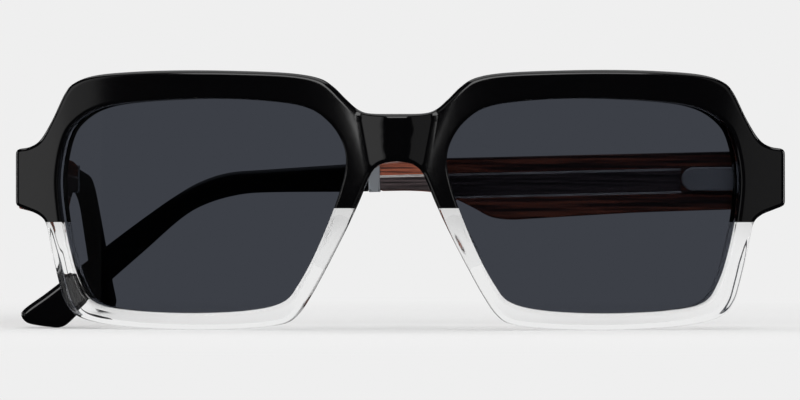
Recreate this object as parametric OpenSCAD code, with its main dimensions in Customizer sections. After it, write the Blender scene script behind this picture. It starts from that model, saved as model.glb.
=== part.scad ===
// Square sunglasses with a two-tone front and laminated wooden temples.
// X runs along the front, Y from the front to the temple tips, Z up from the table that the glasses stand on.
// A temple is drawn open, in its own frame: x outward from the hinge pin, y along the temple, z up.

/* [Front] */
// Width of one eye opening
eye_w = 54.5; // [46:0.5:60]
// Height of one eye opening
eye_h = 39.8; // [34:0.2:46]
// Narrowest gap between the two eye openings
bridge_w = 18.8; // [15:0.2:24]
// Rim under the eye opening
rim_bottom = 3.1; // [2.4:0.1:5]
// Rim over the eye opening
rim_top = 5.3; // [4:0.1:8]
// Width of an endpiece beside the eye opening
endpiece_w = 8.2; // [7:0.1:11]
// Thickness of the front
front_t = 5.2; // [4.4:0.1:6]
// Bend radius of the front's outer face
front_r = 195; // [170:5:260]
// Height of the joint between dark and clear material, at the outer side
joint_side_z = 20; // [17:0.5:21]
// Height of the joint between dark and clear material, at the nose
joint_nose_z = 22.6; // [21:0.2:25]
// Depth that an endpiece reaches behind the back of the rim
endpiece_back = 0.5; // [0:0.1:2]

/* [Lenses] */
// Thickness of a lens
lens_t = 2; // [1.4:0.1:2.4]
// Depth of a lens behind the outer face of the front
lens_inset = 1.7; // [1.2:0.1:2]
// Bite of a lens edge into its groove
lens_bite = 0.7; // [0.4:0.1:1]

/* [Nose pads] */
// Length of a nose pad
pad_l = 9.4; // [7:0.2:10]
// Width of a nose pad
pad_w = 2.8; // [2.2:0.1:3.2]
// Rise of a nose pad behind the rim
pad_rise = 2.4; // [1.5:0.1:3.5]

/* [Hinges] */
// Height of the hinge line above the table
hinge_z = 28.05; // [26:0.1:30]
// Height of the hinge barrel and of the spring casing
hinge_h = 4.4; // [3.8:0.1:5]
// Radius of the hinge barrel
barrel_r = 1.3; // [1.2:0.05:1.5]
// Radius of the hinge screw
screw_r = 0.6; // [0.4:0.05:0.7]
// Length of the spring casing
casing_l = 12.5; // [11.5:0.5:16]
// Thickness of the spring casing
casing_t = 2.7; // [2.6:0.1:3.2]
// Travel of the sprung slider
flex_travel = 1.2; // [0.6:0.1:1.6]

/* [Temples] */
// Reach of a temple from its hinge pin to the end of its tip
temple_reach = 139; // [125:1:150]
// Thickness of the wooden part
wood_t = 4.2; // [3.6:0.1:5]
// Height of the wood above the middle of its band
wood_up = 5.3; // [4.8:0.1:6.5]
// Depth of the wood below the middle of its band
wood_down = 5.6; // [5:0.1:7]
// Depth of the wood at its bulge
bulge_down = 6.55; // [5.6:0.05:8]
// Place of the bulge along the temple
bulge_at = 46.5; // [40:0.5:50]
// Length of the wooden part from the hinge pin
wood_l = 70.8; // [66:0.2:78]
// Height of the temple's neck
neck_h = 5.25; // [4.8:0.05:6]
// Length of the metal spacer
spacer_l = 2.2; // [1.5:0.1:3.5]
// Thickness of a tip
tip_t = 3.6; // [3:0.1:4]
// Width of a tip near its end
tip_w = 7.2; // [6:0.2:9]
// Slope of a temple towards its tip, in degrees
droop = 1.35; // [0:0.05:2.5]
// Height of the dark band on the inner face
band_h = 3.9; // [3:0.1:4.2]
// Height of a metal line beside the band
line_h = 0.4; // [0.3:0.05:0.6]
// Depth of the band and the lines in the wood
inlay_d = 0.7; // [0.4:0.1:1]

/* [Stored pose] */
// Fold of the wearer's left temple, in degrees from open
left_fold = 91.2; // [0:0.1:91.2]
// Fold of the wearer's right temple, in degrees from open
right_fold = 0; // [0:0.1:84.5]

/* [Hidden] */
$fn = 48;

right = -1;
left = 1;
fit = 0.05;
cut = 1;

// Lines of the front: the centre, the two edges of the eye, and the endpiece's side
nose_x = bridge_w / 2;
eye_x = nose_x + eye_w / 2;
temple_x = nose_x + eye_w;
side_x = temple_x + endpiece_w;
// Levels of the front: the table, the two edges of the eye, and the top
eye_bottom_z = rim_bottom;
eye_top_z = rim_bottom + eye_h;
eye_mid_z = rim_bottom + eye_h / 2;
top_z = eye_top_z + rim_top;

// The sizes at which the outlines below are drawn. Other sizes stretch them between these lines.
drawn_x = [[0, 0], [9.4, nose_x], [63.9, temple_x], [72.1, side_x]];
drawn_z = [[0, 0], [3.1, eye_bottom_z], [42.9, eye_top_z], [48.2, top_z]];
function stretch(points) = [for (p = points) [lookup(p.x, drawn_x), lookup(p.y, drawn_z)]];

// Outline of the front over the endpiece, from the middle of the bridge
upper_edge = [
    [0, 40], [4.8, 40.1], [7.3, 40.8], [9.6, 42.7], [12.1, 45.1], [14.8, 46.7], [20, 47.6], [30, 48.05],
    [40, 48.2], [49, 48], [56.5, 47.4], [60.6, 46.1], [62.6, 44.1], [65, 39.3], [67.2, 35.5], [69.2, 34.1],
    [72.1, 33.6]
];
// Its nose side, where a nose pad sits
nose_edge = [[16.2, 6.5], [13, 12.2], [9.8, 18.3], [7.4, 23.3]];
// Outline of the front under the endpiece, back to the middle of the bridge
lower_edge = concat(
    [
        [72.1, 22.9], [70, 22.3], [67.5, 21.2], [66.2, 19.5], [65.3, 15], [63.9, 9], [62.6, 5], [60.2, 2.4],
        [55, 1], [48, 0.3], [38, 0], [28, 0.3], [21.6, 1.1], [18.8, 2.8]
    ],
    nose_edge,
    [[5.65, 27.4], [4.55, 29.5], [2.8, 30.8], [0, 31.25]]
);
// Outline of an eye opening
eye_edge = [
    [36, 42.9], [49, 42.35], [56, 41.2], [60.3, 38.8], [62.6, 35.4], [63.9, 28.6], [63.4, 21.5], [62, 14.6],
    [60.1, 8.8], [57.2, 5], [50, 3.55], [38, 3.1], [27, 3.7], [20.9, 5.3], [18.1, 8.6], [15.1, 14.1],
    [12.4, 20.4], [10.3, 26.4], [9.4, 31.2], [10.2, 35], [12.8, 38.7], [17, 41.3], [25, 42.5]
];

edge_steps = 3;
// A smooth curve through four neighbouring points, between the middle two
function blend(a, b, c, d, t) =
    0.5 * ((2 * b) + (c - a) * t + (2 * a - 5 * b + 4 * c - d) * t * t + (3 * b - a - 3 * c + d) * t * t * t);
function smooth(p) = [
    for (i = [0 : len(p) - 2], k = [0 : edge_steps - 1])
        blend(p[max(i - 1, 0)], p[i], p[i + 1], p[min(i + 2, len(p) - 1)], k / edge_steps),
    p[len(p) - 1]
];
function smooth_loop(p) = [
    for (i = [0 : len(p) - 1], k = [0 : edge_steps - 1])
        let (n = len(p)) blend(p[(i + n - 1) % n], p[i], p[(i + 1) % n], p[(i + 2) % n], k / edge_steps)
];
function flipped(p) = [for (i = [len(p) - 2 : -1 : 1]) [-p[i].x, p[i].y]];

half_outline = concat(smooth(stretch(upper_edge)), smooth(stretch(lower_edge)));
front_outline = concat(half_outline, flipped(half_outline));

// The eye's outline, grown by one amount all round
function eye_outline(grow) = [
    for (p = smooth_loop(stretch(eye_edge)))
        [eye_x + (p.x - eye_x) * (1 + 2 * grow / eye_w), eye_mid_z + (p.y - eye_mid_z) * (1 + 2 * grow / eye_h)]
];

// Depth of the front's outer face at a distance x from the middle
function face_y(x) = front_r - sqrt(front_r * front_r - x * x);
bend_fn = 360;

// The hinge pin stands behind the endpiece, just inside the temple's inner face
endpiece_y = face_y(side_x) + front_t + endpiece_back;
wood_in = 0.9;
pin_x = side_x - wood_t - wood_in;
pin_behind = 0.4;
pin_y = endpiece_y + pin_behind;
butt_gap = 0.25;
butt_y = butt_gap - pin_behind;
knuckle_gap = 0.06;
knuckle_h = 1.5;
head_h = 0.5;
head_r = 0.85 * barrel_r;
barrel_gap = 0.25;
head_gap = 0.3;
relief_r = barrel_r + barrel_gap;
relief_h = hinge_h + 2 * (head_h + head_gap);

// The hinge plate's foot, let into the endpiece from behind
foot_w = 2.9;
foot_gap = 0.2;
foot_x = pin_x - barrel_r - foot_gap;
foot_back_y = pin_y - barrel_r - foot_gap;
foot_front_y = foot_back_y - foot_w;

// The casing, its bore and what slides in it
casing_gap = 0.4;
casing_y = barrel_r + casing_gap;
casing_end = casing_y + casing_l;
casing_in = wood_in - casing_t;
bore_r = 1.05;
bore_x = wood_in - casing_t / 2;
bore_past = 0.6;
bore_end = casing_end - hinge_h / 2 + bore_past;
key_d = 1;
key_h = 2.4;
key_in = 1.6;
key_short = 4;
key_y = casing_y + key_in;
key_l = casing_l - key_short;
tongue = 1.4;
rod_r = 0.4;
nut_l = 1;
nut_r = 0.92;
nut_play = 0.6;
nut_y = bore_end - nut_l - nut_play;
bush_l = 1;
bush_in = 3.6;
bush_y = casing_y + bush_in;
tongue_end = bush_y - fit;
spring_wire = 0.13;
spring_r = 0.72;
spring_turns = 5;

// The temple, measured along its sloping band
core_w = 1.5;
core_t = 1;
core_rise = 2.1;
core_in_wood = 13;
core_in_tip = 22;
core_from = wood_l - core_in_wood;
core_to = wood_l + spacer_l + core_in_tip;
neck_up = 4.65;
neck_down = neck_h - neck_up;
spacer_proud = 0.15;
tip_from = wood_l + spacer_l;
tip_bend_r = 1200;
tip_reach = temple_reach - tip_from;
tip_heel = 6.7;
tip_low_at = tip_reach - tip_heel;
tip_drop = (hinge_z - (tip_from + tip_low_at) * sin(droop)) / cos(droop);
inlay_gap = 0.1;
inlay_from = casing_end + inlay_gap;
inlay_half = band_h / 2;

// The size at which a tip is drawn, from the spacer's end and the band's middle
drawn_tip_x = [[0, 0], [66, tip_reach]];
drawn_tip_z = [[-24.9, -tip_drop], [-3, -3], [4.65, neck_up]];
tip_edge = [
    [4, 4.6], [19, 3.95], [26.3, 3.5], [31.7, 1.9], [36.5, -0.7], [41.5, -4], [48, -8.6], [55.2, -13.9],
    [61, -18.2], [65.2, -21.1], [66, -22.4], [65, -23.8], [62.8, -24.4], [60.6, -24.75], [59.3, -24.9],
    [58.2, -24.7], [57, -23.9], [54.6, -21.6], [49.5, -16.7], [42.5, -10.8], [35.5, -4.9], [30.8, -2.3],
    [25, -0.75], [19, -0.35], [4, -0.6]
];
// A tip's end is drawn at one width. Another width moves its lower edge, the more the lower a point lies.
drawn_tip_w = 7.2;
widen_share = 0.6;
widen = [[-24.9, widen_share], [-10, 0]];
lower_edge_to = 58;
function tip_point(p) = [
    lookup(p.x, drawn_tip_x) - (p.x < lower_edge_to ? (tip_w - drawn_tip_w) * lookup(p.y, widen) : 0),
    lookup(p.y, drawn_tip_z)
];
tip_outline = concat(
    [[0, neck_up]],
    smooth([for (p = tip_edge) tip_point(p)]),
    [[0, -neck_down]]
);
wood_bottom = [
    [wood_l, -neck_down], [wood_l - 6, -neck_down - 0.1], [wood_l - 10.5, -neck_down - 0.6],
    [wood_l - 14, -neck_down - 1.8], [wood_l - 17.5, -neck_down - 3.6], [bulge_at + 3.6, -bulge_down + 0.6],
    [bulge_at, -bulge_down], [bulge_at - 4.5, -bulge_down + 0.1], [bulge_at - 15, -(bulge_down + wood_down) / 2],
    [bulge_at - 26, -wood_down - 0.15], [-cut, -wood_down]
];
wood_top = [
    [-cut, wood_up], [bulge_at, wood_up], [wood_l - 10, wood_up], [wood_l - 5.5, (wood_up + neck_up) / 2 + 0.1],
    [wood_l, neck_up]
];
wood_outline = concat(smooth(wood_top), smooth(wood_bottom));

// Reach of a temple behind its pin when it is folded by an angle
wood_out = wood_in + wood_t;
tip_far_y = max([for (p = tip_outline) (tip_from + p.x) * cos(droop) + p.y * sin(droop)]);
tip_far_x = wood_in + wood_t / 2 + tip_t / 2 - tip_reach * tip_reach / (2 * tip_bend_r);
function fold_reach(fold) = max(wood_out * sin(fold), tip_far_x * sin(fold) + tip_far_y * cos(fold));
depth_all = pin_y + max(fold_reach(left_fold), fold_reach(right_fold));

// Stands a drawing of x and z upright, from y = from to y = to
module upright(from, to) {
    translate([0, to, 0])
        rotate([90, 0, 0])
            linear_extrude(to - from)
                children();
}

// The space between two bent faces, at depths from and to behind the front's outer face
module bent_slab(from, to) {
    translate([0, front_r, -cut])
        difference() {
            cylinder(h = top_z + 2 * cut, r = front_r - from, $fn = bend_fn);
            translate([0, 0, -cut])
                cylinder(h = top_z + 4 * cut, r = front_r - to, $fn = bend_fn);
        }
}

module both_sides() {
    children();
    mirror([1, 0, 0])
        children();
}

module on_side(side) {
    if (side == left) children();
    else mirror([1, 0, 0]) children();
}

// The whole front before its lenses, hinges and two materials are worked out
module front_blank() {
    difference() {
        union() {
            intersection() {
                upright(-cut, pin_y)
                    polygon(front_outline);
                bent_slab(0, front_t);
            }
            both_sides()
                intersection() {
                    upright(face_y(pin_x) + front_t / 2, endpiece_y)
                        polygon(half_outline);
                    translate([pin_x, 0, 0])
                        cube([endpiece_w * 2, endpiece_y + cut, top_z]);
                }
        }
        both_sides()
            upright(-2 * cut, pin_y + cut)
                polygon(eye_outline(0));
        both_sides()
            intersection() {
                upright(-cut, pin_y)
                    polygon(eye_outline(lens_bite + fit));
                bent_slab(lens_inset - fit, lens_inset + lens_t + fit);
            }
        both_sides()
            translate([pin_x - cut, foot_back_y, hinge_z - relief_h / 2])
                cube([relief_r + cut, pin_y - foot_back_y, relief_h]);
        both_sides()
            hinge_foot(fit);
    }
}

module clear_zone() {
    upright(-2 * cut, pin_y + 2 * cut)
        polygon([
            [-cut, -cut], [side_x + cut, -cut], [side_x + cut, joint_side_z], [eye_x, joint_side_z],
            [eye_x, joint_nose_z], [-cut, joint_nose_z]
        ]);
}

module front_frame() {
    color("#151313")
        difference() {
            front_blank();
            both_sides()
                clear_zone();
        }
}

module lower_rim(side) {
    color("#e9edf0", 0.6)
        on_side(side)
            intersection() {
                front_blank();
                clear_zone();
            }
}

// A pad follows the nose edge of the rim and is domed towards the nose
pad_drop = 6.1;
pad_z = joint_nose_z - pad_drop;
pad_inset = 0.35;
function nose_edge_x(z) = lookup(z, [for (p = stretch(nose_edge)) [p.y, p.x]]);
pad_x = nose_edge_x(pad_z) + pad_w / 2 + pad_inset;
pad_tilt = atan((nose_edge_x(pad_z - pad_l / 3) - nose_edge_x(pad_z + pad_l / 3)) / (2 * pad_l / 3));
pad_dome_r = (pad_l * pad_l / 4 + pad_rise * pad_rise) / (2 * pad_rise);
module nose_pad(side) {
    pad_y = face_y(pad_x) + front_t;
    color("#e9edf0", 0.6)
        on_side(side)
            intersection() {
                translate([pad_x, 0, pad_z])
                    rotate([0, -pad_tilt, 0])
                        upright(pad_y - pad_rise, pad_y + 2 * pad_rise)
                            pad_shape();
                translate([pad_x, pad_y + pad_rise - pad_dome_r, pad_z])
                    sphere(r = pad_dome_r, $fn = 96);
                translate([0, front_r, -cut])
                    cylinder(h = top_z + 2 * cut, r = front_r - front_t, $fn = bend_fn);
            }
}
module pad_shape() {
    straight = pad_l - pad_w;
    square([pad_w, straight], center = true);
    for (end = [-1, 1])
        translate([0, end * straight / 2])
            circle(d = pad_w);
}

module lens(side) {
    color("#4a4d55", 0.7)
        on_side(side)
            intersection() {
                upright(-cut, pin_y)
                    polygon(eye_outline(lens_bite));
                bent_slab(lens_inset, lens_inset + lens_t);
            }
}

// The hinge plate: the foot, and two arms that carry the outer knuckles
module hinge_foot(gap) {
    translate([foot_x - gap, foot_front_y - gap, hinge_z - hinge_h / 2 - gap])
        cube([foot_w + 2 * gap, foot_back_y - foot_front_y + gap, hinge_h + 2 * gap]);
}
module hinge_plate(side) {
    outer_h = (hinge_h - knuckle_h) / 2 - knuckle_gap;
    color("#8d9096")
        on_side(side)
            difference() {
                union() {
                    hinge_foot(0);
                    for (level = [hinge_z - hinge_h / 2, hinge_z + hinge_h / 2 - outer_h])
                        translate([pin_x, pin_y, level]) {
                            cylinder(h = outer_h, r = barrel_r);
                            translate([-barrel_r, foot_back_y - pin_y - cut, 0])
                                cube([barrel_r, pin_y - foot_back_y + cut, outer_h]);
                        }
                }
                translate([pin_x, pin_y, hinge_z - hinge_h])
                    cylinder(h = 2 * hinge_h, r = screw_r + fit / 5);
            }
}

module hinge_screws() {
    color("#a9abb0")
        both_sides()
            translate([pin_x, pin_y, hinge_z - hinge_h / 2]) {
                cylinder(h = hinge_h + head_h / 2, r = screw_r);
                translate([0, 0, hinge_h + fit])
                    cylinder(h = head_h, r = head_r);
            }
}

// Puts a temple piece, drawn open in its own frame, at its hinge and at its stored fold
module at_hinge(side) {
    fold = side == left ? left_fold : right_fold;
    on_side(side)
        translate([pin_x, pin_y, hinge_z])
            rotate([0, 0, fold])
                children();
}

// Slopes a piece that follows the temple's band
module along_band() {
    rotate([-droop, 0, 0])
        children();
}

// A round rod on the line of the casing's bore
module rod(from, length, radius) {
    translate([bore_x, from + length, 0])
        rotate([90, 0, 0])
            cylinder(h = length, r = radius);
}

module hinge_slider(side) {
    color("#9a9ca1")
        at_hinge(side)
            difference() {
                union() {
                    translate([0, 0, -knuckle_h / 2])
                        cylinder(h = knuckle_h, r = barrel_r);
                    translate([bore_x - tongue / 2, 0, -tongue / 2])
                        cube([tongue, tongue_end, tongue]);
                    rod(tongue_end - fit, nut_y + nut_l - tongue_end + fit, rod_r);
                }
                translate([0, 0, -hinge_h])
                    cylinder(h = 2 * hinge_h, r = screw_r + fit);
            }
}

module slider_nut(side) {
    color("#b9bbc0")
        at_hinge(side)
            difference() {
                rod(nut_y, nut_l, nut_r);
                rod(nut_y - cut, nut_l + 2 * cut, rod_r + fit / 5);
            }
}

module casing_bush(side) {
    color("#b9bbc0")
        at_hinge(side)
            difference() {
                rod(bush_y, bush_l, bore_r - fit / 5);
                rod(bush_y - cut, bush_l + 2 * cut, rod_r + fit);
            }
}

module flex_spring(side) {
    from = bush_y + bush_l + spring_wire + fit;
    length = nut_y - from - spring_wire - fit;
    steps = 12;
    sides = 6;
    rings = spring_turns * steps;
    // One ring of wire, turned to face along the coil
    function ring(k) =
        let (a = 360 * k / steps, y = from + length * k / rings)
        [for (j = [0 : sides - 1])
            let (r = spring_r + spring_wire * cos(360 * j / sides))
            [bore_x + r * cos(a), y + spring_wire * sin(360 * j / sides), r * sin(a)]];
    points = [for (k = [0 : rings]) each ring(k)];
    walls = [
        for (k = [0 : rings - 1], j = [0 : sides - 1])
            let (a = k * sides + j, b = k * sides + (j + 1) % sides)
            each [[a, b, b + sides], [a, b + sides, a + sides]]
    ];
    last = rings * sides;
    caps = [
        for (j = [1 : sides - 2])
            each [[0, j + 1, j], [last, last + j, last + j + 1]]
    ];
    color("#c9cbd0")
        at_hinge(side)
            polyhedron(points = points, faces = concat(walls, caps));
}

// The casing's key, let into the wood
module casing_key(gap) {
    translate([wood_in - key_d / 2, key_y - gap, -key_h / 2 - gap])
        cube([key_d * 3 / 2 + gap, key_l + 2 * gap, key_h + 2 * gap]);
}

module spring_casing(side) {
    color("#8b8f96")
        at_hinge(side)
            difference() {
                union() {
                    translate([casing_in, casing_y, -hinge_h / 2])
                        cube([casing_t, casing_l - hinge_h / 2, hinge_h]);
                    translate([casing_in, casing_end - hinge_h / 2, 0])
                        rotate([0, 90, 0])
                            cylinder(h = casing_t, r = hinge_h / 2);
                    casing_key(0);
                }
                rod(casing_y - cut, bore_end - casing_y + cut, bore_r);
            }
}

// A slice of the temple between two heights of its band, as deep as the inlays
module band_slice(low, high, from, deep, gap) {
    translate([wood_in - cut, from - gap, low - gap])
        cube([deep + cut + gap, wood_l - from + 2 * gap + cut, high - low + 2 * gap]);
}

module wood_blank(from_x, thick) {
    intersection() {
        along_band()
            translate([from_x, 0, 0])
                rotate([90, 0, 90])
                    linear_extrude(thick)
                        polygon(wood_outline);
        translate([-wood_t, butt_y, -hinge_z])
            cube([4 * wood_t, wood_l + 3 * cut, 2 * hinge_z]);
    }
}

module core_bar(gap) {
    translate([wood_in + wood_t / 2 - core_t / 2 - gap, core_from - gap, core_rise - core_w / 2 - gap])
        cube([core_t + 2 * gap, core_to - core_from + 2 * gap, core_w + 2 * gap]);
}

module temple_wood(side) {
    color("#4a1d14")
        at_hinge(side)
            difference() {
                wood_blank(wood_in, wood_t);
                along_band()
                    band_slice(-inlay_half - line_h, inlay_half + line_h, inlay_from, inlay_d, fit / 5);
                along_band()
                    core_bar(fit);
                translate([0, 0, -relief_h / 2])
                    cylinder(h = relief_h, r = relief_r);
                casing_key(fit);
            }
}

module inlay(low, high) {
    intersection() {
        wood_blank(wood_in, inlay_d);
        along_band()
            band_slice(low, high, inlay_from, inlay_d, 0);
    }
}

module inner_band(side) {
    color("#2b2126")
        at_hinge(side)
            inlay(-inlay_half, inlay_half);
}

module upper_line(side) {
    color("#c8c9cc")
        at_hinge(side)
            inlay(inlay_half, inlay_half + line_h);
}

module lower_line(side) {
    color("#c8c9cc")
        at_hinge(side)
            inlay(-inlay_half - line_h, -inlay_half);
}

module spacer(side) {
    color("#aeb6c2")
        at_hinge(side)
            along_band()
                difference() {
                    translate([wood_in - spacer_proud / 2, wood_l, -neck_down - spacer_proud])
                        cube([wood_t + spacer_proud / 2, spacer_l, neck_h + 2 * spacer_proud]);
                    core_bar(fit);
                }
}

module temple_core(side) {
    color("#b4b6bb")
        at_hinge(side)
            along_band()
                core_bar(0);
}

// A tip bends down over the ear and a little towards the head
module temple_tip(side) {
    middle = wood_in + wood_t / 2;
    color("#121112")
        at_hinge(side)
            along_band()
                difference() {
                    intersection() {
                        translate([wood_in - 2 * wood_t, tip_from, 0])
                            rotate([90, 0, 90])
                                linear_extrude(4 * wood_t)
                                    polygon(tip_outline);
                        translate([middle - tip_bend_r, tip_from, -hinge_z - cut])
                            difference() {
                                cylinder(h = 2 * hinge_z, r = tip_bend_r + tip_t / 2, $fn = bend_fn);
                                translate([0, 0, -cut])
                                    cylinder(h = 2 * hinge_z + 2 * cut, r = tip_bend_r - tip_t / 2, $fn = bend_fn);
                            }
                    }
                    core_bar(fit);
                }
}

// Moves the object so that the origin is under the middle of its box
module centred() {
    translate([0, -depth_all / 2, 0])
        children();
}

centred() front_frame();
centred() lower_rim(right);  // right_lower_rim
centred() lower_rim(left);  // left_lower_rim
centred() nose_pad(right);  // right_nose_pad
centred() nose_pad(left);  // left_nose_pad
centred() lens(right);  // right_lens
centred() lens(left);  // left_lens
centred() hinge_plate(right);  // right_hinge_plate
centred() hinge_plate(left);  // left_hinge_plate
centred() hinge_screws();
centred() hinge_slider(right);  // right_hinge_slider
centred() hinge_slider(left);  // left_hinge_slider
centred() slider_nut(right);  // right_slider_nut
centred() slider_nut(left);  // left_slider_nut
centred() spring_casing(right);  // right_spring_casing
centred() spring_casing(left);  // left_spring_casing
centred() casing_bush(right);  // right_casing_bush
centred() casing_bush(left);  // left_casing_bush
centred() flex_spring(right);  // right_flex_spring
centred() flex_spring(left);  // left_flex_spring
centred() temple_wood(right);  // right_temple_wood
centred() temple_wood(left);  // left_temple_wood
centred() inner_band(right);  // right_inner_band
centred() inner_band(left);  // left_inner_band
centred() upper_line(right);  // right_upper_line
centred() upper_line(left);  // left_upper_line
centred() lower_line(right);  // right_lower_line
centred() lower_line(left);  // left_lower_line
centred() spacer(right);  // right_spacer
centred() spacer(left);  // left_spacer
centred() temple_core(right);  // right_temple_core
centred() temple_core(left);  // left_temple_core
centred() temple_tip(right);  // right_temple_tip
centred() temple_tip(left);  // left_temple_tip
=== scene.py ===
import math

import bmesh
import bpy
from mathutils import Matrix, Vector
from mathutils.geometry import delaunay_2d_cdt


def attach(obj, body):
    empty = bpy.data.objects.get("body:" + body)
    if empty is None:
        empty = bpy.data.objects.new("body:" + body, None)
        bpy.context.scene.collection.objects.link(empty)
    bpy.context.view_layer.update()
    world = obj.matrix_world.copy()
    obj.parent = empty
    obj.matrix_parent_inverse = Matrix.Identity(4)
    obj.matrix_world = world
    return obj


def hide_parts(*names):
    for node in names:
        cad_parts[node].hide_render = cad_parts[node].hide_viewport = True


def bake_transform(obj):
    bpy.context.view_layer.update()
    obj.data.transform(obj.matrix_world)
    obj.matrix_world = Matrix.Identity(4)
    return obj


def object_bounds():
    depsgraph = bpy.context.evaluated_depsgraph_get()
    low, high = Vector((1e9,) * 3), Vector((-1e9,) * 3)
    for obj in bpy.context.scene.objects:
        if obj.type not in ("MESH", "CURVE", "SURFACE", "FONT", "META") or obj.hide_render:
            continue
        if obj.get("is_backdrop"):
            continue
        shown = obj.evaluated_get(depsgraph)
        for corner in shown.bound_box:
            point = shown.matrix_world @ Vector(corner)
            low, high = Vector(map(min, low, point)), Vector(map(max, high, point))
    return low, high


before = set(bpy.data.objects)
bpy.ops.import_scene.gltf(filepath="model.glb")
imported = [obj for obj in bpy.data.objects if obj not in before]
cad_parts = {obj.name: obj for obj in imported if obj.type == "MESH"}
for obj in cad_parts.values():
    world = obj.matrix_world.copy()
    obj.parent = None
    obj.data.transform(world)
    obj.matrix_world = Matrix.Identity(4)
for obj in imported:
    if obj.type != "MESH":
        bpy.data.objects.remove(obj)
cad_low, cad_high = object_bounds()

# The camera of the photograph: a metre away, level with the middle of the front, and turned a
# little to the side, so that one inner wall of each eye shows.
MM = 0.001
BRIDGE_Y = cad_low.y / MM
AIM = Vector((0.17, BRIDGE_Y + 13.8, 24.1)) * MM
AWAY, TURNED = 1.0, math.radians(2.3)
FOCAL_MM = 240.4
NEAREST, FURTHEST = 0.05, 30
camera = bpy.data.objects.new("photo_camera", bpy.data.cameras.new("photo_camera"))
camera.location = AIM + AWAY * Vector((math.sin(TURNED), -math.cos(TURNED), 0))
camera.rotation_euler = (math.pi / 2, 0, TURNED)
camera.data.lens = FOCAL_MM
camera.data.clip_start, camera.data.clip_end = NEAREST, FURTHEST
bpy.context.scene.collection.objects.link(camera)
bpy.context.scene.camera = camera
bpy.context.scene.view_settings.view_transform = "Standard"


# The studio: a pale paper table that runs on into a pale backdrop, and soft lamps overhead, high in
# front and behind. Dim ones at the front left and right draw the streaks on the black acetate, a
# narrow one at each side draws its edges, and the room adds a faint fill light.
class Reading:
    """A value in a finish's nodes, on which Python's own operators work."""

    def __init__(self, finish, socket):
        self.finish, self.socket = finish, socket

    def _sum(self, operation, first, second):
        return self.finish.node("Math", {"operation": operation}, {0: first, 1: second})

    def __add__(self, other):
        return self._sum("ADD", self, other)

    def __mul__(self, other):
        return self._sum("MULTIPLY", self, other)

    def __sub__(self, other):
        return self._sum("SUBTRACT", self, other)

    def __rsub__(self, other):
        return self._sum("SUBTRACT", other, self)

    __radd__, __rmul__ = __add__, __mul__


class Finish:
    """The nodes of one material, or of the world."""

    def __init__(self, name, holder=None):
        self.holder = holder or bpy.data.materials.new(name)
        self.holder.use_nodes = True
        self.tree = self.holder.node_tree
        self.tree.nodes.clear()

    def node(self, kind, settings=None, values=None, out=0):
        """A node of a kind: its settings first, then the values or links of its sockets."""
        made = self.tree.nodes.new("ShaderNode" + kind)
        for name, value in (settings or {}).items():
            if name == "stops":
                while len(made.color_ramp.elements) < len(value):
                    made.color_ramp.elements.new(0.5)
                for element, (place, colour) in zip(made.color_ramp.elements, value):
                    element.position, element.color = place, (*colour, 1)
            else:
                setattr(made, name, value)
        for place, value in (values or {}).items():
            socket = made.inputs[place]
            if isinstance(value, Reading):
                self.tree.links.new(value.socket, socket)
            else:
                socket.default_value = (*value, 1) if socket.type == "RGBA" else value
        return Reading(self, made.outputs[out]) if made.outputs else None

    def blend(self, share, first, second):
        """A colour that goes from the first to the second."""
        return self.node("Mix", {"data_type": "RGBA"}, {0: share, 6: first, 7: second}, out=2)

    def noise(self, stretch, detail=3.0, rough=0.5, twist=0.0):
        """Noise whose grains are 1/stretch metres long along x, y and z of the piece."""
        place = self.node("TexCoord", out="Object")
        place = self.node("VectorMath", {"operation": "MULTIPLY"}, {0: place, 1: stretch})
        return self.node("TexNoise", {}, {
            "Vector": place, "Scale": 1.0, "Detail": detail, "Roughness": rough,
            "Distortion": twist})

    def between(self, value, low, high):
        """How far a value is from low to high, from 0 to 1."""
        settings = {"interpolation_type": "SMOOTHSTEP"}
        return self.node("MapRange", settings, {"Value": value, "From Min": low, "From Max": high})

    def seen_directly(self):
        """1 where the camera sees this itself or through glass, and 0 where it only gives light."""
        through_glass = self.node("LightPath", out="Is Transmission Ray")
        return self.node("LightPath", out="Is Camera Ray") + through_glass

    def surface(self, values, height=None, relief=0.0):
        """The material, with a relief in millimetres where it has a height."""
        if height is not None:
            bump = {"Height": height, "Distance": relief * MM, "Strength": 1.0}
            values["Normal"] = self.node("Bump", {}, bump)
        shader = self.node("BsdfPrincipled", {}, values)
        self.node("OutputMaterial", {}, {"Surface": shader})
        return self.holder


PALE = (0.863, 0.863, 0.863)
FILL = (0.3, 0.3, 0.3)
DIM = (0.02, 0.02, 0.022)
# What is seen directly is pale, what the gloss mirrors is dim, and the rest is the fill light.
room = Finish("studio", bpy.data.worlds.new("studio"))
bpy.context.scene.world = room.holder
mirrored = room.node("LightPath", out="Is Glossy Ray")
room_colour = room.blend(room.seen_directly(), room.blend(mirrored, FILL, DIM), PALE)
room.node("OutputWorld", {}, {"Surface": room.node("Background", {}, {"Color": room_colour})})

TABLE_HALF, TABLE_Z = 8.0, -0.02 * MM
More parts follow.
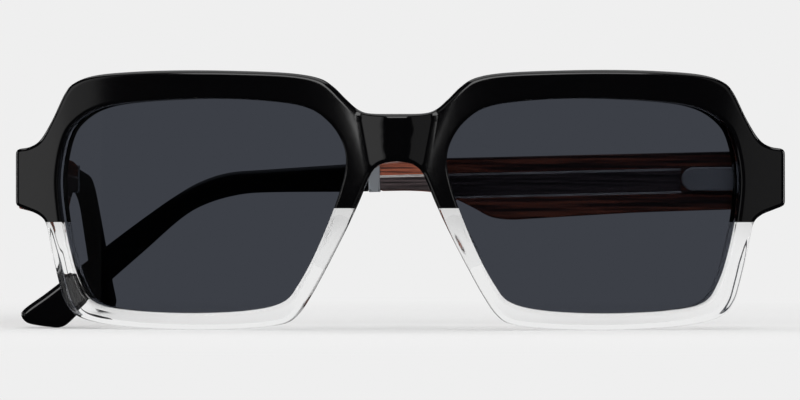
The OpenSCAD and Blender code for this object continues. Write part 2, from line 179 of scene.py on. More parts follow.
# Metres from the middle, over which the shading of the paper gives way to the pale backdrop.
LIT_TO, PALE_FROM = 0.04, 0.24
table = bpy.data.objects.new("table", bpy.data.meshes.new("table"))
ways = ((-1, -1), (1, -1), (1, 1), (-1, 1))
corners = [(x * TABLE_HALF, y * TABLE_HALF, TABLE_Z) for x, y in ways]
table.data.from_pydata(corners, [], [(0, 1, 2, 3)])
bpy.context.scene.collection.objects.link(table)
table.visible_glossy = False
table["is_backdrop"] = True
paper = Finish("pale_paper")
place = paper.node("TexCoord", out="Object")
from_middle = paper.node("VectorMath", {"operation": "LENGTH"}, {0: place}, out="Value")
far_away = paper.between(from_middle, LIT_TO, PALE_FROM)
lit = paper.node("BsdfPrincipled", {}, {"Base Color": (0.785, 0.785, 0.785), "Roughness": 0.9})
glow = paper.node("Emission", {}, {"Color": PALE, "Strength": 1.0})
shown = paper.node("MixShader", {}, {0: far_away * paper.seen_directly(), 1: lit, 2: glow})
paper.node("OutputMaterial", {}, {"Surface": shown})
table.data.materials.append(paper.holder)

LAMPS = {
    # name: azimuth from the front and elevation in degrees, distance, width and height in metres,
    # radiance
    "overhead": (0, 89, 0.9, 1.3, 1.3, 1.4),
    "front_high": (0, 27, 1.1, 1.2, 0.5, 3.4),
    "front_left": (-52.5, 4, 1.1, 0.45, 0.9, 0.45),
    "front_left_outer": (-57.5, 4, 1.05, 0.44, 0.9, 0.4),
    "front_right": (50.5, 6, 1.1, 0.36, 0.9, 0.26),
    "side_left": (-112, 8, 1.2, 0.16, 0.8, 5.0),
    "side_right": (112, 8, 1.2, 0.16, 0.8, 5.0),
    "behind": (180, 62, 1.2, 1.2, 0.7, 0.5),
}
for name, (azimuth, elevation, distance, width, height, radiance) in LAMPS.items():
    around, up = math.radians(azimuth), math.radians(elevation)
    level = math.cos(up)
    towards = Vector((math.sin(around) * level, -math.cos(around) * level, math.sin(up)))
    lamp = bpy.data.objects.new("lamp_" + name, bpy.data.lights.new(name, "AREA"))
    lamp.data.shape, lamp.data.size, lamp.data.size_y = "RECTANGLE", width, height
    lamp.data.energy = radiance * math.pi * width * height
    lamp.location = AIM + towards * distance
    lamp.rotation_euler = towards.to_track_quat("Z", "Y").to_euler()
    lamp.visible_transmission = False
    bpy.context.scene.collection.objects.link(lamp)


# The front: one sheet of acetate, dark above and clear below, milled to its outline and bent to a
# shallow curve. Its edges are tumbled round, the bridge stands out between two soft creases, each
# eye has a groove for its lens, and each endpiece has a notch for the hinge at its back.
SIDES = ((-1, "right"), (1, "left"))
FRONT_T, FACE_R = 5.2, 195
SIDE_X, TOP_Z = 72.1, 48.2
EYE_X, EYE_Z, EYE_W, EYE_H = 36.65, 23.0, 54.5, 39.8
BACK_OF_ENDPIECE = 19.519
UPPER_EDGE = [
    (0, 40), (4.8, 40.1), (7.3, 40.8), (9.6, 42.7), (12.1, 45.1), (14.8, 46.7), (20, 47.6),
    (30, 48.05), (40, 48.2), (49, 48), (56.5, 47.4), (60.6, 46.1), (62.6, 44.1), (65, 39.3),
    (67.2, 35.5), (69.2, 34.1), (71.3, 33.7), (71.95, 33.3), (72.1, 32.6),
]
LOWER_EDGE = [
    (72.1, 23.9), (71.95, 23.2), (71.3, 22.8), (70, 22.3), (67.5, 21.2), (66.2, 19.5), (65.3, 15),
    (63.9, 9), (62.6, 5), (60.2, 2.4), (55, 1), (48, 0.3), (38, 0), (28, 0.3), (21.6, 1.1),
    (18.8, 2.8), (16.2, 6.5), (13, 12.2), (9.8, 18.3), (7.4, 23.3), (5.65, 27.4), (4.55, 29.5),
    (2.8, 30.8), (0, 31.25),
]
EYE_EDGE = [
    (36, 42.9), (49, 42.35), (56, 41.2), (60.3, 38.8), (62.6, 35.4), (63.9, 28.6), (63.4, 21.5),
    (62, 14.6), (60.1, 8.8), (57.2, 5), (50, 3.55), (38, 3.1), (27, 3.7), (20.9, 5.3), (18.1, 8.6),
    (15.1, 14.1), (12.4, 20.4), (10.3, 26.4), (9.4, 31.2), (10.2, 35), (12.8, 38.7), (17, 41.3),
    (25, 42.5),
]


def smooth(points, closed=False):
    """A smooth line through the points."""
    count, steps, line = len(points), 8, []
    for i in range(count if closed else count - 1):
        near = range(i - 1, i + 3)
        a, b, c, d = (points[k % count if closed else min(max(k, 0), count - 1)] for k in near)
        for k in range(steps):
            t = k / steps
            line.append(tuple(
                0.5 * (2 * b[n] + (c[n] - a[n]) * t
                       + (2 * a[n] - 5 * b[n] + 4 * c[n] - d[n]) * t ** 2
                       + (3 * b[n] - a[n] - 3 * c[n] + d[n]) * t ** 3)
                for n in (0, 1)))
    return line if closed else line + [points[-1]]


def spaced(line, gap):
    """The same closed line with its points an even gap apart."""
    tiny = 1e-9
    ends = line[1:] + line[:1]
    lengths = [math.dist(a, b) for a, b in zip(line, ends)]
    count = round(sum(lengths) / gap)
    step, along, made = sum(lengths) / count, 0.0, []
    for a, b, length in zip(line, ends, lengths):
        while len(made) < count and along + length >= len(made) * step - tiny:
            share = (len(made) * step - along) / max(length, tiny)
            made.append(tuple(a[n] + (b[n] - a[n]) * share for n in (0, 1)))
        along += length
    return made


def turning(line):
    """The closed line, made to run anticlockwise."""
    area = sum(a[0] * b[1] - b[0] * a[1] for a, b in zip(line, line[1:] + line[:1]))
    return line if area > 0 else line[::-1]


def inset(line, amount):
    """The closed line moved to its left by an amount, in short steps. A long way evens it out."""
    longest, long_way, pull = 0.2, 0.9, 0.08
    steps = max(1, math.ceil(abs(amount) / longest))
    for _ in range(steps):
        moved = []
        for i, here in enumerate(line):
            before, after = line[i - 1], line[(i + 1) % len(line)]
            run, rise = after[0] - before[0], after[1] - before[1]
            share = amount / steps / (math.hypot(run, rise) or 1)
            moved.append((here[0] - rise * share, here[1] + run * share))
        line = moved
        if abs(amount) > long_way:
            pairs = zip(line, line[-1:] + line[:-1], line[1:] + line[:1])
            line = [
                tuple((1 - 2 * pull) * here[n] + pull * (before[n] + after[n]) for n in (0, 1))
                for here, before, after in pairs
            ]
    return line


def inside(point, line):
    """Whether a point lies inside a closed line."""
    x, y = point
    hit = False
    for (ax, ay), (bx, by) in zip(line, line[1:] + line[:1]):
        if (ay > y) != (by > y) and x < ax + (y - ay) / (by - ay) * (bx - ax):
            hit = not hit
    return hit


def within(point, lines):
    """Whether a point lies inside the first closed line and outside the others."""
    return inside(point, lines[0]) and not any(inside(point, line) for line in lines[1:])


def edge_rows(thick, rounding, groove=(), steps=5):
    """Inset and depth of each row of an edge, from a flat strip of the outer face to the back."""
    flat_strip = 0.3
    angles = [math.pi / 2 * k / steps for k in range(steps + 1)]
    front = [(rounding * (1 - math.sin(a)), rounding * (1 - math.cos(a))) for a in angles]
    front.insert(0, (rounding + flat_strip, 0))
    return front + list(groove) + [(i, thick - d) for i, d in reversed(front)]


def join_rings(mesh_data, rings, ends=False):
    """Faces from each ring of points to the next, and over the two ends."""
    count = len(rings[0])
    for upper, lower in zip(rings, rings[1:]):
        for i in range(count):
            k = (i + 1) % count
            mesh_data.faces.new((upper[i], upper[k], lower[k], lower[i]))
    if ends:
        mesh_data.faces.new(rings[0])
        mesh_data.faces.new(rings[-1])


SHARP = math.radians(38)
SAME_PLACE = 1e-6


def as_object(name, mesh_data, body=None):
    """An object of the mesh, shaded smooth except at its sharp edges. It may move with a body."""
    bmesh.ops.remove_doubles(mesh_data, verts=mesh_data.verts, dist=SAME_PLACE)
    bmesh.ops.recalc_face_normals(mesh_data, faces=mesh_data.faces)
    for face in mesh_data.faces:
        face.smooth = True
    mesh = bpy.data.meshes.new(name)
    mesh_data.to_mesh(mesh)
    mesh_data.free()
    mesh.set_sharp_from_angle(angle=SHARP)
    made = bpy.data.objects.new(name, mesh)
    bpy.context.scene.collection.objects.link(made)
    if body:
        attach(made, body)
    return made


def plate(name, outline, rows, place, holes=(), hole_rows=(), grid=0, marks=(), body=None):
    """A plate with rounded edges. place turns a point of its drawing and a depth into a place in
    metres. Its faces have a point every grid millimetres, where that isn't 0, and at the marks."""
    mesh_data = bmesh.new()
    last_depth = rows[-1][1]
    border, flat, edges, front, back = [], [], [], [], []
    shapes = [(turning(outline), rows)] + [(turning(hole)[::-1], hole_rows) for hole in holes]
    for loop, loop_rows in shapes:
        lines = [inset(loop, amount) for amount, _ in loop_rows]
        rings = []
        for line, (_, depth) in zip(lines, loop_rows):
            rings.append([mesh_data.verts.new(place(u, v, depth)) for u, v in line])
        join_rings(mesh_data, rings)
        count, start = len(loop), len(flat)
        flat += [Vector(p) for p in lines[0]]
        edges += [(start + i, start + (i + 1) % count) for i in range(count)]
        border.append([tuple(p) for p in flat[start:]])
        front, back = front + rings[0], back + rings[-1]
    if grid:
        mark_margin, mark_room = 0.35, 0.45 * grid
        low_u, high_u = min(p[0] for p in border[0]), max(p[0] for p in border[0])
        low_v, high_v = min(p[1] for p in border[0]), max(p[1] for p in border[0])
        close = [inset(line, grid / 2) for line in border]
        near = [inset(line, mark_margin) for line in border]
        sprinkled = [
            (low_u + (i + 0.5 * (k % 2)) * grid, low_v + k * grid)
            for i in range(int((high_u - low_u) / grid) + 1)
            for k in range(int((high_v - low_v) / grid) + 1)
        ]
        sprinkled = [p for p in sprinkled if all(math.dist(p, mark) > mark_room for mark in marks)]
        for point, limits in [(p, close) for p in sprinkled] + [(p, near) for p in marks]:
            if within(point, limits):
                flat.append(Vector(point))
                front.append(mesh_data.verts.new(place(*point, 0)))
                back.append(mesh_data.verts.new(place(*point, last_depth)))
    points, _, faces, origins, _, _ = delaunay_2d_cdt(flat, edges, [], 1, 1e-7, True)
    layers = [
        [side[made_from[0]] if made_from else mesh_data.verts.new(place(*point, depth))
         for point, made_from in zip(points, origins)]
        for side, depth in ((front, 0), (back, last_depth))
    ]
    for face in faces:
        if within([sum(points[n][k] for n in face) / len(face) for k in (0, 1)], border):
            for layer in layers:
                mesh_data.faces.new([layer[n] for n in face])
    bmesh.ops.remove_doubles(mesh_data, verts=mesh_data.verts, dist=SAME_PLACE)
    open_edges = [e for e in mesh_data.edges if e.is_boundary]
    bmesh.ops.holes_fill(mesh_data, edges=open_edges, sides=0)
    return as_object(name, mesh_data, body)


def face_y(x):
    """Depth of the front's outer face at a distance x from the middle."""
    return FACE_R - math.sqrt(FACE_R ** 2 - x * x)


CREASE_X, CREASE_LEAN, ARCH_Z = 5.45, 1.65 / 8.7, 31.3
CROWN, GENTLE, STEEP = 0.4, 0.4, 0.45
CREASE_FADE, NARROWEST = 13.0, 0.01


def crease_at(z):
    """Distance of the crease beside the bridge from the middle."""
    return CREASE_X + CREASE_LEAN * (z - ARCH_Z)


def crease(x, z):
    """How far the front's face falls back: over a round crown, down a slope that grows from gentle
    to steep, and from the crease outward less and less."""
    edge = max(crease_at(z), NARROWEST)
    share = abs(x) / edge
    if share < CROWN:
        return edge * GENTLE * share ** 2 / (2 * CROWN)
    past = min(share, 1) - CROWN
    growth = (STEEP - GENTLE) * past ** 2 / (2 * (1 - CROWN))
    fall = edge * (CROWN * GENTLE / 2 + GENTLE * past + growth)
    return fall * (1 - min(max((abs(x) - edge) / CREASE_FADE, 0), 1)) ** 2


def bent(x, depth):
    """Where a point of the flat sheet lies after bending: distance from the middle, and depth."""
    tilt = math.asin(x / FACE_R)
    return (FACE_R - depth) * math.sin(tilt), FACE_R - (FACE_R - depth) * math.cos(tilt)


SQUARE_FROM, SQUARE_OVER = 64.6, 3.0


def in_front(x, z, depth):
    """A place in the front. The endpieces are square, and drawn out to the hinge at the back."""
    z = min(max(z, 0), TOP_Z)
    x = min(max(x, -SIDE_X), SIDE_X)
    fall = crease(x, z)
    bent_x, bent_y = bent(x, fall + (FRONT_T - fall) * depth / FRONT_T)
    share = min(max((abs(x) - SQUARE_FROM) / SQUARE_OVER, 0), 1)
    share = share * share * (3 - 2 * share)
    square_y = face_y(x) + (BACK_OF_ENDPIECE - face_y(x)) * depth / FRONT_T
    x, y = bent_x + (x - bent_x) * share, bent_y + (square_y - bent_y) * share
    return Vector((x, y + BRIDGE_Y, z)) * MM


def eye_line(grow, side, gap=0.9):
    """The outline of an eye, larger by an amount all round, with its points a gap apart."""
    wide, high = 1 + 2 * grow / EYE_W, 1 + 2 * grow / EYE_H
    line = [
        (side * (EYE_X + (x - EYE_X) * wide), EYE_Z + (z - EYE_Z) * high)
        for x, z in smooth(EYE_EDGE, closed=True)
    ]
    return spaced(turning(line), gap)


def cut_away(piece, low=None, high=None, rod=None):
    """Cuts a box, or a rod of (matrix, radius, length), out of a piece. All in millimetres."""
    tool = bmesh.new()
    if rod:
        matrix, radius, length = rod
        bmesh.ops.create_cone(
            tool, cap_ends=True, segments=40, radius1=radius * MM, radius2=radius * MM,
            depth=length * MM, matrix=matrix)
    else:
        bmesh.ops.create_cube(tool, size=1)
        for vert in tool.verts:
            vert.co = Vector([(high[n] if vert.co[n] > 0 else low[n]) * MM for n in range(3)])
    mesh = bpy.data.meshes.new("cutter")
    tool.to_mesh(mesh)
    tool.free()
    cutter = bpy.data.objects.new("cutter", mesh)
    bpy.context.scene.collection.objects.link(cutter)
    cutter.matrix_world = piece.matrix_world
    step = piece.modifiers.new("cut", "BOOLEAN")
    step.operation, step.solver, step.object = "DIFFERENCE", "EXACT", cutter
    bpy.context.view_layer.update()
    evaluated = piece.evaluated_get(bpy.context.evaluated_depsgraph_get())
    cut = bpy.data.meshes.new_from_object(evaluated)
    piece.modifiers.remove(step)
    piece.data = cut
    cut.set_sharp_from_angle(angle=SHARP)
    bpy.data.objects.remove(cutter)


EDGE_ROUND, EYE_ROUND, EDGE_GAP = 0.75, 0.5, 0.5
LENS_GROOVE = [(0, 1.65), (0.28, 1.67), (0.3, 1.72), (0.3, 3.68), (0.28, 3.73), (0, 3.75)]
MARKS_FROM_CREASE = (-3.6, -3, -2.4, -1.8, -1.2, -0.6, -0.12, 0.12, 0.9, 1.8, 2.9, 4.2, 5.8)
MARK_LEVELS = [20 + 0.45 * k for k in range(56)]
NEAREST_MARK = 0.3
half = smooth(UPPER_EDGE)[:-1] + smooth(LOWER_EDGE)
outline = half + [(-x, z) for x, z in half[-2:0:-1]]
bridge_marks = [
    (side * (crease_at(z) + off), z)
    for side, _ in SIDES for z in MARK_LEVELS for off in MARKS_FROM_CREASE
    if crease_at(z) + off > NEAREST_MARK
]
blank = plate(
    "front_blank", spaced(outline, EDGE_GAP), edge_rows(FRONT_T, EDGE_ROUND), in_front,
    holes=[eye_line(0, side, EDGE_GAP) for side, _ in SIDES],
    hole_rows=edge_rows(FRONT_T, EYE_ROUND, LENS_GROOVE), grid=1.5, marks=bridge_marks)
HINGE_Z, PIN_X, PIN_Y = 28.05, 67.0, BRIDGE_Y + 19.919
NOTCH_IN, NOTCH_OUT = PIN_X - 2.2, PIN_X + 1.55
NOTCH_FRONT, NOTCH_BACK, NOTCH_HALF = PIN_Y - 1.5, PIN_Y + 4, 3
for side, _ in SIDES:
    low_x, high_x = sorted((side * NOTCH_IN, side * NOTCH_OUT))
    low_z, high_z = HINGE_Z - NOTCH_HALF, HINGE_Z + NOTCH_HALF
    cut_away(blank, (low_x, NOTCH_FRONT, low_z), (high_x, NOTCH_BACK, high_z))


def part_of_front(name, keep, levels):
    """One colour of the front, cut from the blank at its two joint levels and closed again."""
    part = bmesh.new()
    part.from_mesh(blank.data)
    for level in levels:
        bmesh.ops.bisect_plane(
            part, geom=part.verts[:] + part.edges[:] + part.faces[:], dist=1e-7,
            plane_co=(0, 0, level * MM), plane_no=(0, 0, 1))
    outside = [f for f in part.faces if not keep(f.calc_center_median() / MM)]
    bmesh.ops.delete(part, geom=outside, context="FACES")
    open_edges = [e for e in part.edges if e.is_boundary]
    bmesh.ops.holes_fill(part, edges=open_edges, sides=0)
    return as_object(name, part, "front")


SIDE_JOINT, NOSE_JOINT = 20.0, 22.6
BITE = 0.03


def level_at(x):
    """Height of the joint of the two colours, on an eye's outer or inner side."""
    return SIDE_JOINT if abs(x) > EYE_X else NOSE_JOINT


dark_front = part_of_front(
    "front_upper", lambda p: p.z > level_at(p.x) - BITE,
    (SIDE_JOINT - BITE, NOSE_JOINT - BITE))
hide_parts("front_frame")
black = Finish("dark_acetate")
polish = black.noise((90, 90, 90), detail=4)
haze = black.noise((700, 700, 700), detail=2)
black_acetate = black.surface({
    "Base Color": black.blend(polish, (0.0003, 0.0003, 0.0005), (0.0009, 0.0008, 0.001)),
    "Roughness": 0.085 + 0.04 * haze,
    "IOR": 1.49,
}, polish, 0.006)
dark_front.data.materials.append(black_acetate)

# Painted shade: the clear acetate's colour greys from 11 mm up to its joint with the dark acetate,
# standing in for the dark part above seen through it.
JOINT_SHADE_FROM, JOINT_SHADE_TO = 11, 23.5
clear = Finish("clear_acetate")
waves = clear.noise((160, 160, 160), detail=2)
height = clear.node("SeparateXYZ", {}, {0: clear.node("TexCoord", out="Object")}, out="Z")
joint_shade = clear.between(height, JOINT_SHADE_FROM * MM, JOINT_SHADE_TO * MM)
glass_white = clear.blend(waves, (0.955, 0.96, 0.96), (0.985, 0.985, 0.985))
clear_acetate = clear.surface({
    # The clear colour, blended towards grey by the painted shade under the joint.
    "Base Color": clear.blend(joint_shade * joint_shade, glass_white, (0.76, 0.76, 0.76)),
    "Roughness": 0.02 + 0.05 * waves,
    "IOR": 1.3,
    "Transmission Weight": 1.0,
}, waves, 0.02)
for side, wearer in SIDES:
    rim = part_of_front(
        wearer + "_rim", lambda p: p.x * side > 0 and p.z < level_at(p.x),
        (SIDE_JOINT, NOSE_JOINT))
    rim.data.materials.append(clear_acetate)
    rim.visible_shadow = False
    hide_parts(wearer + "_lower_rim")
bpy.data.objects.remove(blank)


# The lenses: evenly tinted grey sheet, cut to the eye and bent like the front, with their edges
# held in the groove all round.
LENS_T, LENS_DEPTH, LENS_IN_GROOVE, LENS_ROUND = 2, 1.7, 0.24, 0.2


def in_lens(x, z, depth):
    """A place in a lens, at a depth behind its outer face."""
    bent_x, bent_y = bent(x, LENS_DEPTH + depth)
    return Vector((bent_x, bent_y + BRIDGE_Y, z)) * MM


tint = Finish("grey_lens")
coating = tint.noise((60, 60, 60), detail=1)
grey_tint = tint.surface({
    "Base Color": (0.0524, 0.0576, 0.0709),
    "Roughness": 0.002 * coating,
    "IOR": 1.12,
    "Transmission Weight": 1.0,
})
for side, wearer in SIDES:
    pane = plate(
        wearer + "_pane", eye_line(LENS_IN_GROOVE, side), edge_rows(LENS_T, LENS_ROUND), in_lens,
        grid=2.0, body="front")
    pane.data.materials.append(grey_tint)
    pane.visible_shadow = pane.visible_diffuse = False
    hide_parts(wearer + "_lens")


# The nose pads: clear acetate domes with long round outlines, turned to the slope of the nose. They
# are bonded to the back of the rims.
PAD_L, PAD_W, PAD_RISE, PAD_SUNK = 10.6, 3.1, 2.4, 0.08
PAD_X, PAD_Z, PAD_TILT = 12.45, 16.5, math.radians(28.4)
PAD_AROUND, PAD_RINGS, PAD_TOP = 48, 12, 0.004
PAD_SQUARENESS, PAD_CROWN = 6, 1.4


def pad_ring(share):
    """One ring of a pad's outline, shrunk to a share of its size, about the pad's middle."""
    straight, ring = (PAD_L - PAD_W) / 2, []
    for k in range(PAD_AROUND):
        a = 2 * math.pi * k / PAD_AROUND
        across, along = math.cos(a) * PAD_W / 2, math.sin(a) * PAD_W / 2
        along += straight * math.tanh(math.sin(a) * PAD_SQUARENESS)
        ring.append((across * share, along * share))
    return ring


soft_clear = Finish("clear_pad")
pad_acetate = soft_clear.surface({
    "Base Color": (0.93, 0.93, 0.93),
    "Roughness": 0.08 + 0.1 * soft_clear.noise((300, 300, 300)),
    "IOR": 1.12,
    "Transmission Weight": 1.0,
})
for side, wearer in SIDES:
    pad, rings = bmesh.new(), []
    for k in range(PAD_RINGS + 1):
        share = 1 - (1 - PAD_TOP) * k / PAD_RINGS
        rise = (PAD_RISE + PAD_SUNK) * (1 - share ** 2) ** PAD_CROWN - PAD_SUNK
        ring = []
        for across, along in pad_ring(share):
            x = PAD_X + across * math.cos(PAD_TILT) - along * math.sin(PAD_TILT)
            z = PAD_Z + across * math.sin(PAD_TILT) + along * math.cos(PAD_TILT)
            y = face_y(x) + FRONT_T + rise + BRIDGE_Y
            ring.append(pad.verts.new(Vector((side * x, y, z)) * MM))
        rings.append(ring)
    join_rings(pad, rings, ends=True)
    dome = as_object(wearer + "_pad", pad, "front")
    dome.data.materials.append(pad_acetate)
    dome.visible_shadow = False
    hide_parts(wearer + "_nose_pad")


# The hinges and cores: steel plates let into the endpieces, turned screws, sprung sliders with
# their nuts and bushes, and flat cores through the temples. They keep their CAD shapes, with the
# edges broken.
def metal(name, colour, rough, streak, relief=0.004, metallic=1.0):
    """Brushed metal with faint marks. Its streaks are 1/streak metres long."""
    finish = Finish(name)
    brushed = finish.noise(streak, detail=4, rough=0.6)
    marks = finish.noise((260, 260, 260), detail=2)
    darker = tuple(0.82 * part for part in colour)
    return finish.surface({
        "Base Color": finish.blend(marks, darker, colour),
        "Metallic": metallic,
        "Roughness": rough + 0.16 * brushed,
    }, brushed, relief)


steel = metal("steel", (0.52, 0.53, 0.55), 0.22, (900, 900, 3000))
bright_steel = metal("bright_steel", (0.68, 0.69, 0.7), 0.16, (2500, 2500, 900))
BROKEN_EDGE = 0.08
FITTINGS = {
    steel: (
        "right_hinge_plate", "left_hinge_plate", "right_hinge_slider", "left_hinge_slider",
        "right_temple_core", "left_temple_core"),
    bright_steel: (
        "hinge_screws", "right_slider_nut", "left_slider_nut", "right_casing_bush",
        "left_casing_bush"),
}
for finish, names in FITTINGS.items():
    for name in names:
        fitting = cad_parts[name]
        fitting.data.materials.clear()
        fitting.data.materials.append(finish)
        broken = fitting.modifiers.new("broken_edges", "BEVEL")
        broken.width, broken.segments, broken.limit_method = BROKEN_EDGE * MM, 2, "ANGLE"
        broken.harden_normals = True


# The wooden fronts of the temples: layered rosewood, milled with a bulge under the band and a
# narrow neck, sanded round at the edges and oiled. The butt has a hollow for the hinge barrel.
# Like the rest of a temple they are drawn open: x outward from the hinge pin, y along, z up.
WOOD_IN, WOOD_OUT, WOOD_L, WOOD_ROUND = 0.9, 5.1, 70.8, 0.35
WOOD_TOP = [(-0.27, 5.3), (20, 5.3), (46.5, 5.3), (60.8, 5.3), (65.3, 5.075), (70.8, 4.65)]
WOOD_BOTTOM = [
    (70.8, -0.6), (64.8, -0.7), (60.3, -1.2), (56.8, -2.4), (53.3, -4.2), (50.1, -5.95),
    (46.5, -6.55), (42, -6.45), (31.5, -6.075), (20.5, -5.75), (-0.02, -5.6),
]
BARREL_R, BARREL_H = 1.55, 6.0
DROOP = math.radians(1.35)
FOLD = {"right": 0.0, "left": 91.2}


def at_hinge(side, wearer):
    """The temple's frame at its hinge, turned by its stored fold."""
    turn = Matrix.Rotation(math.radians(side * FOLD[wearer]), 4, "Z")
    return Matrix.Translation(Vector((side * PIN_X, PIN_Y, HINGE_Z)) * MM) @ turn


def lay_at_hinge(piece, side, wearer):
    """Puts a piece drawn in the temple's frame at its hinge, and lets it move with the temple."""
    piece.matrix_world = at_hinge(side, wearer)
    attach(piece, wearer + "_temple")


def along_band(y, z):
    """A place of a drawing that follows the band, which slopes down towards the tip."""
    return y * math.cos(DROOP) + z * math.sin(DROOP), z * math.cos(DROOP) - y * math.sin(DROOP)


def in_temple(side, first_x, sloping=True):
    """Turns a drawing of y and z, and a depth outward from first_x, into a place in the temple."""
    def place(y, z, depth):
        if sloping:
            y, z = along_band(y, z)
        return Vector((side * (first_x + depth), y, z)) * MM
    return place


top_line, bottom_line = smooth(WOOD_TOP), smooth(WOOD_BOTTOM)
wood_line = top_line + bottom_line
wood = Finish("rosewood")
bands = wood.noise((1900, 42, 1900), detail=4, rough=0.6, twist=0.3)
pores = wood.noise((4200, 110, 4200), detail=3, rough=0.6)
wide = wood.noise((300, 9, 300), detail=2)
grain = wood.between(bands + 0.5 * (wide - 0.5), 0.36, 0.66)
streaks = wood.node("ValToRGB", {"stops": [
    (0.0, (0.03, 0.012, 0.010)), (0.28, (0.075, 0.022, 0.014)), (0.55, (0.15, 0.038, 0.021)),
    (0.8, (0.27, 0.062, 0.030)), (1.0, (0.40, 0.105, 0.050)),
]}, {0: grain})
dark_pores = wood.between(pores, 0.52, 0.66)
rosewood = wood.surface({
    "Base Color": wood.blend(dark_pores * 0.75, streaks, (0.02, 0.007, 0.005)),
    "Roughness": 0.34 + 0.2 * pores,
    "Coat Weight": 0.25 + 0.1 * bands,
    "Coat Roughness": 0.15,
}, pores * 0.6 + bands, 0.03)
for side, wearer in SIDES:
    front_wood = plate(
        wearer + "_wood", spaced(wood_line, gap=0.7), edge_rows(WOOD_OUT - WOOD_IN, WOOD_ROUND),
        in_temple(side, WOOD_IN))
    cut_away(front_wood, rod=(Matrix(), BARREL_R, BARREL_H))
    front_wood.data.materials.append(rosewood)
    lay_at_hinge(front_wood, side, wearer)
    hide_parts(wearer + "_temple_wood")


# The inner band and its two light lines: a strip of dark dyed wood between two hair lines of pale
# metal, let into the inner face of the wood and sanded flush.
BAND_FROM, BAND_HALF, LINE_H = 14.3, 1.95, 0.4
STRIP_T, STRIP_ROUND, STRIP_STEPS = 0.5, 0.03, 80
UNDER_TOP, OVER_BOTTOM, LEAST_H = 0.2, 0.22, 0.12


def height_of(line, y):
    """Height of the wood's upper or lower edge at a place along the temple."""
    for (ay, az), (by, bz) in zip(line, line[1:]):
        if min(ay, by) <= y <= max(ay, by):
            return az + (bz - az) * (y - ay) / ((by - ay) or 1)
    return line[-1][1]


dyed = Finish("dark_band")
fibres = dyed.noise((2600, 60, 2600), detail=4, rough=0.6)
tone = dyed.between(fibres, 0.36, 0.64)
dyed_wood = dyed.surface({
    "Base Color": dyed.blend(tone, (0.014, 0.010, 0.011), (0.10, 0.072, 0.076)),
    "Roughness": 0.38 + 0.15 * fibres,
}, fibres, 0.015)
pale = Finish("pale_line")
specks = pale.noise((900, 200, 900), detail=4, rough=0.7)
wear = pale.between(specks, 0.35, 0.65)
pale_line = pale.surface({
    "Base Color": pale.blend(wear, (0.62, 0.58, 0.57), (1.0, 0.97, 0.96)),
    "Metallic": 0.1,
    "Roughness": 0.3 + 0.2 * specks,
}, specks, 0.01)
STRIPS = {
    # name: lower and upper edge, how far it stands proud, finish, slot
    "inner_band": (-BAND_HALF, BAND_HALF, 0.03, dyed_wood, "dark_band"),
    "upper_line": (BAND_HALF, BAND_HALF + LINE_H, 0.045, pale_line, "light_metal"),
    "lower_line": (-BAND_HALF - LINE_H, -BAND_HALF, 0.045, pale_line, "light_metal"),
}
for side, wearer in SIDES:
    for strip_name, (low, high, proud, finish, slot_name) in STRIPS.items():
        upper, lower = [], []
        for k in range(STRIP_STEPS + 1):
            y = BAND_FROM + (WOOD_L - BAND_FROM) * k / STRIP_STEPS
            top = min(high, height_of(top_line, y) - UNDER_TOP)
            bottom = max(low, height_of(bottom_line, y) + OVER_BOTTOM)
            if top - bottom > LEAST_H:
                upper.append((y, top))
                lower.append((y, bottom))
        strip = plate(
            f"{wearer}_{strip_name}_strip", upper + lower[::-1],
            edge_rows(STRIP_T, STRIP_ROUND, steps=2), in_temple(side, WOOD_IN - proud))
        strip.data.materials.append(finish)
        lay_at_hinge(strip, side, wearer)
        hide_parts(f"{wearer}_{strip_name}")


# The spring casings: pressed and brushed metal shells with one round end, screwed flat to the inner
# face of the wood, and open towards the hinge for the slider.
CASING_FROM, CASING_TO, CASING_HALF, CORNER = 1.7, 14.2, 2.2, 0.15
CASING_IN, CASING_T, CASING_ROUND, ROUND_END_STEPS = -1.8, 2.75, 0.45, 16
BORE_X, BORE_R, BORE_MIDDLE, BORE_L = -0.45, 1.05, 7.1, 11.0
satin = metal("casing_metal", (0.72, 0.73, 0.75), 0.3, (1800, 70, 1800), metallic=0.45)
casing_line = [(CASING_FROM, -CASING_HALF + CORNER), (CASING_FROM + CORNER, -CASING_HALF)]
for k in range(ROUND_END_STEPS + 1):
    a = -math.pi / 2 + math.pi * k / ROUND_END_STEPS
    casing_line.append(
        (CASING_TO - CASING_HALF + CASING_HALF * math.cos(a), CASING_HALF * math.sin(a)))
casing_line += [(CASING_FROM + CORNER, CASING_HALF), (CASING_FROM, CASING_HALF - CORNER)]
for side, wearer in SIDES:
    casing = plate(
        wearer + "_casing", spaced(casing_line, gap=0.35), edge_rows(CASING_T, CASING_ROUND),
        in_temple(side, CASING_IN, sloping=False))
    bore = Matrix.Translation(Vector((side * BORE_X, BORE_MIDDLE, 0)) * MM)
    cut_away(casing, rod=(bore @ Matrix.Rotation(math.pi / 2, 4, "X"), BORE_R, BORE_L))
    casing.data.materials.append(satin)
    lay_at_hinge(casing, side, wearer)
    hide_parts(wearer + "_spring_casing")
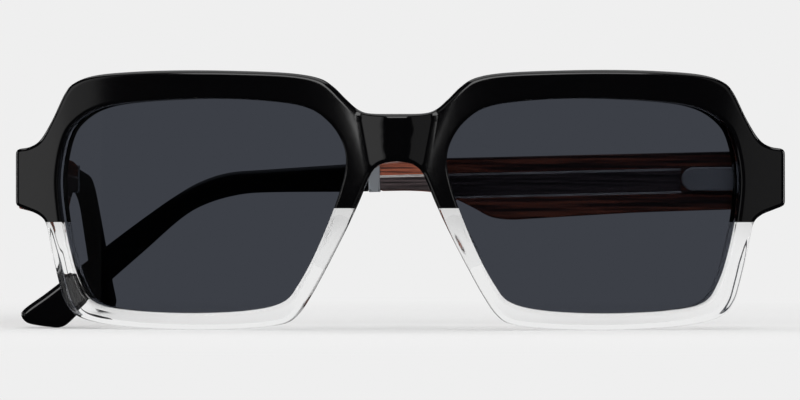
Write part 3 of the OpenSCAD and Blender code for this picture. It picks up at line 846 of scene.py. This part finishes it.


# The flex springs: steel wire coiled round each slider's rod inside the casing, from the bush to
# the slider's nut. Each is laid at its temple's hinge in the stored fold and left there, not
# attached to the temple or the slider.
COIL_R, WIRE_R, TURNS = 0.72, 0.13, 5
COIL_FROM, COIL_TO = 6.48, 10.82
TURN_STEPS, WIRE_STEPS = 24, 10
for side, wearer in SIDES:
    wire, rings = bmesh.new(), []
    for k in range(TURNS * TURN_STEPS + 1):
        around = 2 * math.pi * k / TURN_STEPS
        along = COIL_FROM + (COIL_TO - COIL_FROM) * k / (TURNS * TURN_STEPS)
        ring = []
        for j in range(WIRE_STEPS):
            across = 2 * math.pi * j / WIRE_STEPS
            out = COIL_R + WIRE_R * math.cos(across)
            x, z = BORE_X + out * math.cos(around), out * math.sin(around)
            y = along + WIRE_R * math.sin(across)
            ring.append(wire.verts.new(Vector((side * x, y, z)) * MM))
        rings.append(ring)
    join_rings(wire, rings, ends=True)
    coil = as_object(wearer + "_coil", wire)
    coil.data.materials.append(bright_steel)
    coil.matrix_world = at_hinge(side, wearer)
    ends = [coil.matrix_world @ (Vector((side * BORE_X, y, 0)) * MM) for y in (COIL_FROM, COIL_TO)]
    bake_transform(coil)
    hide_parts(wearer + "_flex_spring")


# The spacers: blocks of blue-grey brushed metal between wood and tip, threaded on the core, with
# their edges broken.
SPACER_IN, SPACER_T, SPACER_ROUND = 0.825, 4.275, 0.2
SPACER_LINE = [
    (70.8, -0.6), (70.95, -0.75), (72.85, -0.75), (73.0, -0.6), (73.0, 4.65), (72.85, 4.8),
    (70.95, 4.8), (70.8, 4.65),
]
spacer_metal = metal(
    "spacer_metal", (0.46, 0.49, 0.53), 0.34, (2600, 2600, 200), relief=0.008, metallic=0.55)
for side, wearer in SIDES:
    block = plate(
        wearer + "_block", spaced(SPACER_LINE, gap=0.1),
        edge_rows(SPACER_T, SPACER_ROUND, steps=3), in_temple(side, SPACER_IN))
    block.data.materials.append(spacer_metal)
    lay_at_hinge(block, side, wearer)
    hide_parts(wearer + "_spacer")


# The tips: dark acetate, bent down over the ear and slightly in towards the head, tumbled to a
# round section and polished.
TIP_FROM, TIP_T, TIP_ROUND, TIP_BEND_R = 73.0, 3.6, 1.15, 1200
TIP_EDGE = [
    (4, 4.6), (19, 3.95), (26.3, 3.5), (31.7, 1.9), (36.5, -0.7), (41.5, -4), (48, -8.6),
    (55.2, -13.9), (61, -18.2), (65.2, -21.1), (66, -22.4), (65, -23.8), (62.8, -24.4),
    (60.6, -24.75), (59.3, -24.9), (58.2, -24.7), (57, -23.9), (54.6, -21.6), (49.5, -16.7),
    (42.5, -10.8), (35.5, -4.9), (30.8, -2.3), (25, -0.75), (19, -0.35), (4, -0.6),
]
tip_line = [(0, 4.65)] + smooth(TIP_EDGE) + [(0, -0.6)]


def in_tip(side):
    """Turns a drawing of y and z, and a depth, into a place in the tip, which bends to the head."""
    def place(y, z, depth):
        first = WOOD_IN + (WOOD_OUT - WOOD_IN - TIP_T) / 2 - y * y / (2 * TIP_BEND_R)
        y, z = along_band(TIP_FROM + y, z)
        return Vector((side * (first + depth), y, z)) * MM
    return place


for side, wearer in SIDES:
    sleeve = plate(
        wearer + "_sleeve", spaced(tip_line, gap=0.6), edge_rows(TIP_T, TIP_ROUND, steps=7),
        in_tip(side), grid=1.2)
    sleeve.data.materials.append(black_acetate)
    lay_at_hinge(sleeve, side, wearer)
    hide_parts(wearer + "_temple_tip")

bpy.context.view_layer.update()
low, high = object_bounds()
